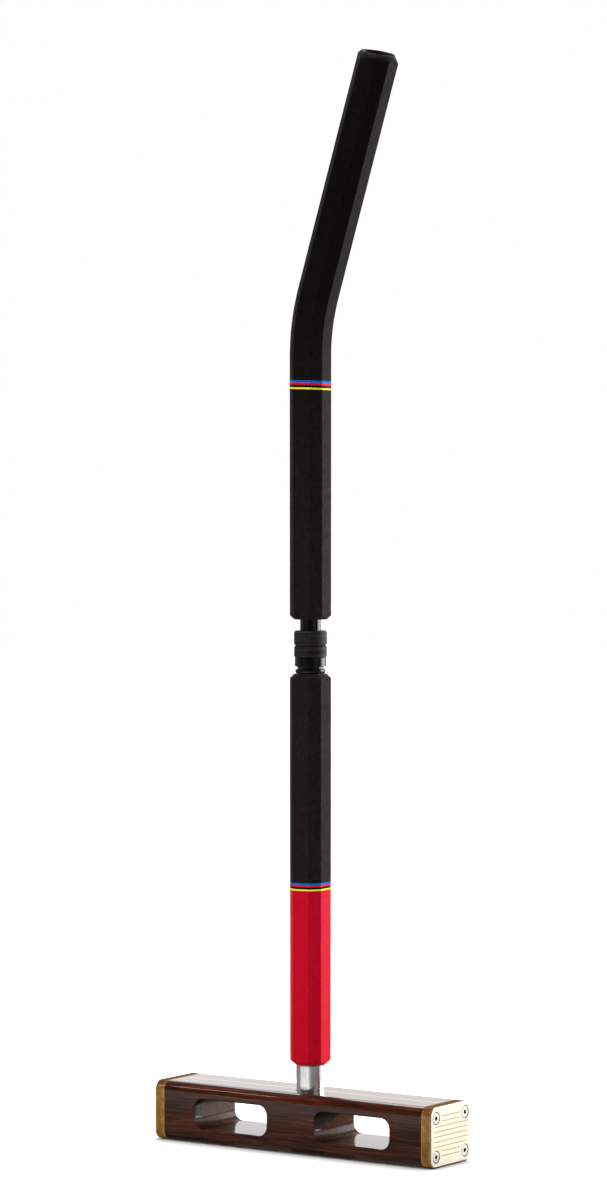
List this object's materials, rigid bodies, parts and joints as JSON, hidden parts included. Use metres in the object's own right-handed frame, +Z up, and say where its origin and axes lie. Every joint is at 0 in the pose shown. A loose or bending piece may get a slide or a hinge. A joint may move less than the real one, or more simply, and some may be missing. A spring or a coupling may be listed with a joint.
{
  "type": "croquet mallet",
  "caption": "Croquet mallet with a slotted hardwood head, grooved brass faces and an eight-sided foam grip on a bent shaft that splits at a threaded coupling.",
  "frame": {"origin": "centre of the flat sole of the head, on the surface that the mallet stands on", "axes": "+Z up the shaft, +X along the head towards the end that the handle bends to, +Y across the head"},
  "size_m": [0.278, 0.0604, 0.9138],
  "materials": {
    "rosewood": "dark rosewood, fine straight grain, clear gloss lacquer",
    "inlay": "pale inlaid strip, lacquered flush",
    "brass_plate": "satin brushed brass, cut grooves",
    "insert_brass": "machined, hidden in the wood",
    "steel": "machined steel",
    "tube": "drawn tube, softly polished",
    "coupling": "black anodised, turned and knurled",
    "nylon": "moulded nylon",
    "cap": "moulded black plastic",
    "foam_black": "closed-cell foam grip, matt black",
    "foam_red": "closed-cell foam grip, matt red",
    "stripe_yellow": "yellow foam ring",
    "stripe_red": "red foam ring",
    "stripe_blue": "blue foam ring",
    "stripe_black": "black foam ring"
  },
  "bodies": {
    "head_and_lower_shaft": {"head_body": "rosewood", "sight_line_left": "inlay", "sight_line_right": "inlay", "end_plate_left": "brass_plate", "end_plate_right": "brass_plate", "face_screw_left_upper_front": "steel", "face_screw_left_upper_back": "steel", "face_screw_left_lower_front": "steel", "face_screw_left_lower_back": "steel", "face_screw_right_upper_front": "steel", "face_screw_right_upper_back": "steel", "face_screw_right_lower_front": "steel", "face_screw_right_lower_back": "steel", "insert_left_upper_front": "insert_brass", "insert_left_upper_back": "insert_brass", "insert_left_lower_front": "insert_brass", "insert_left_lower_back": "insert_brass", "insert_right_upper_front": "insert_brass", "insert_right_upper_back": "insert_brass", "insert_right_lower_front": "insert_brass", "insert_right_lower_back": "insert_brass", "lower_tube": "tube", "tube_plug": "tube", "anchor_bolt": "steel", "anchor_washer": "steel", "lower_grip_red": "foam_red", "lower_grip_black": "foam_black", "lower_stripe_yellow": "stripe_yellow", "lower_stripe_black": "stripe_black", "lower_stripe_red": "stripe_red", "lower_stripe_blue": "stripe_blue", "coupling_socket": "coupling", "socket_pin": "steel", "index_pin": "steel"},
    "handle": {"coupling_spigot": "coupling", "spigot_pin": "steel", "upper_tube": "tube", "upper_grip_straight": "foam_black", "upper_grip_bent": "foam_black", "upper_stripe_yellow": "stripe_yellow", "upper_stripe_black": "stripe_black", "upper_stripe_red": "stripe_red", "upper_stripe_blue": "stripe_blue", "end_cap": "cap"},
    "nut_carrier": {"slip_washer": "nylon"},
    "nut": {"coupling_nut": "coupling"}
  },
  "joints": [
    {"name": "handle_lift", "type": "slide", "parent": "head_and_lower_shaft", "child": "handle", "axis": [0, 0, 1], "range_m": [0, 0.045]},
    {"name": "nut_travel", "type": "slide", "parent": "handle", "child": "nut_carrier", "axis": [0, 0, 1], "range_m": [0, 0.00902]},
    {"name": "nut_turn", "type": "hinge", "parent": "nut_carrier", "child": "nut", "pos_m": [0, 0, 0.423], "axis": [0, 0, 1], "range_deg": [0, 2160]}
  ],
  "couplings": [
    {"joint": "nut_travel", "follows": "nut_turn", "m_per_rad": 0.00023873}
  ]
}
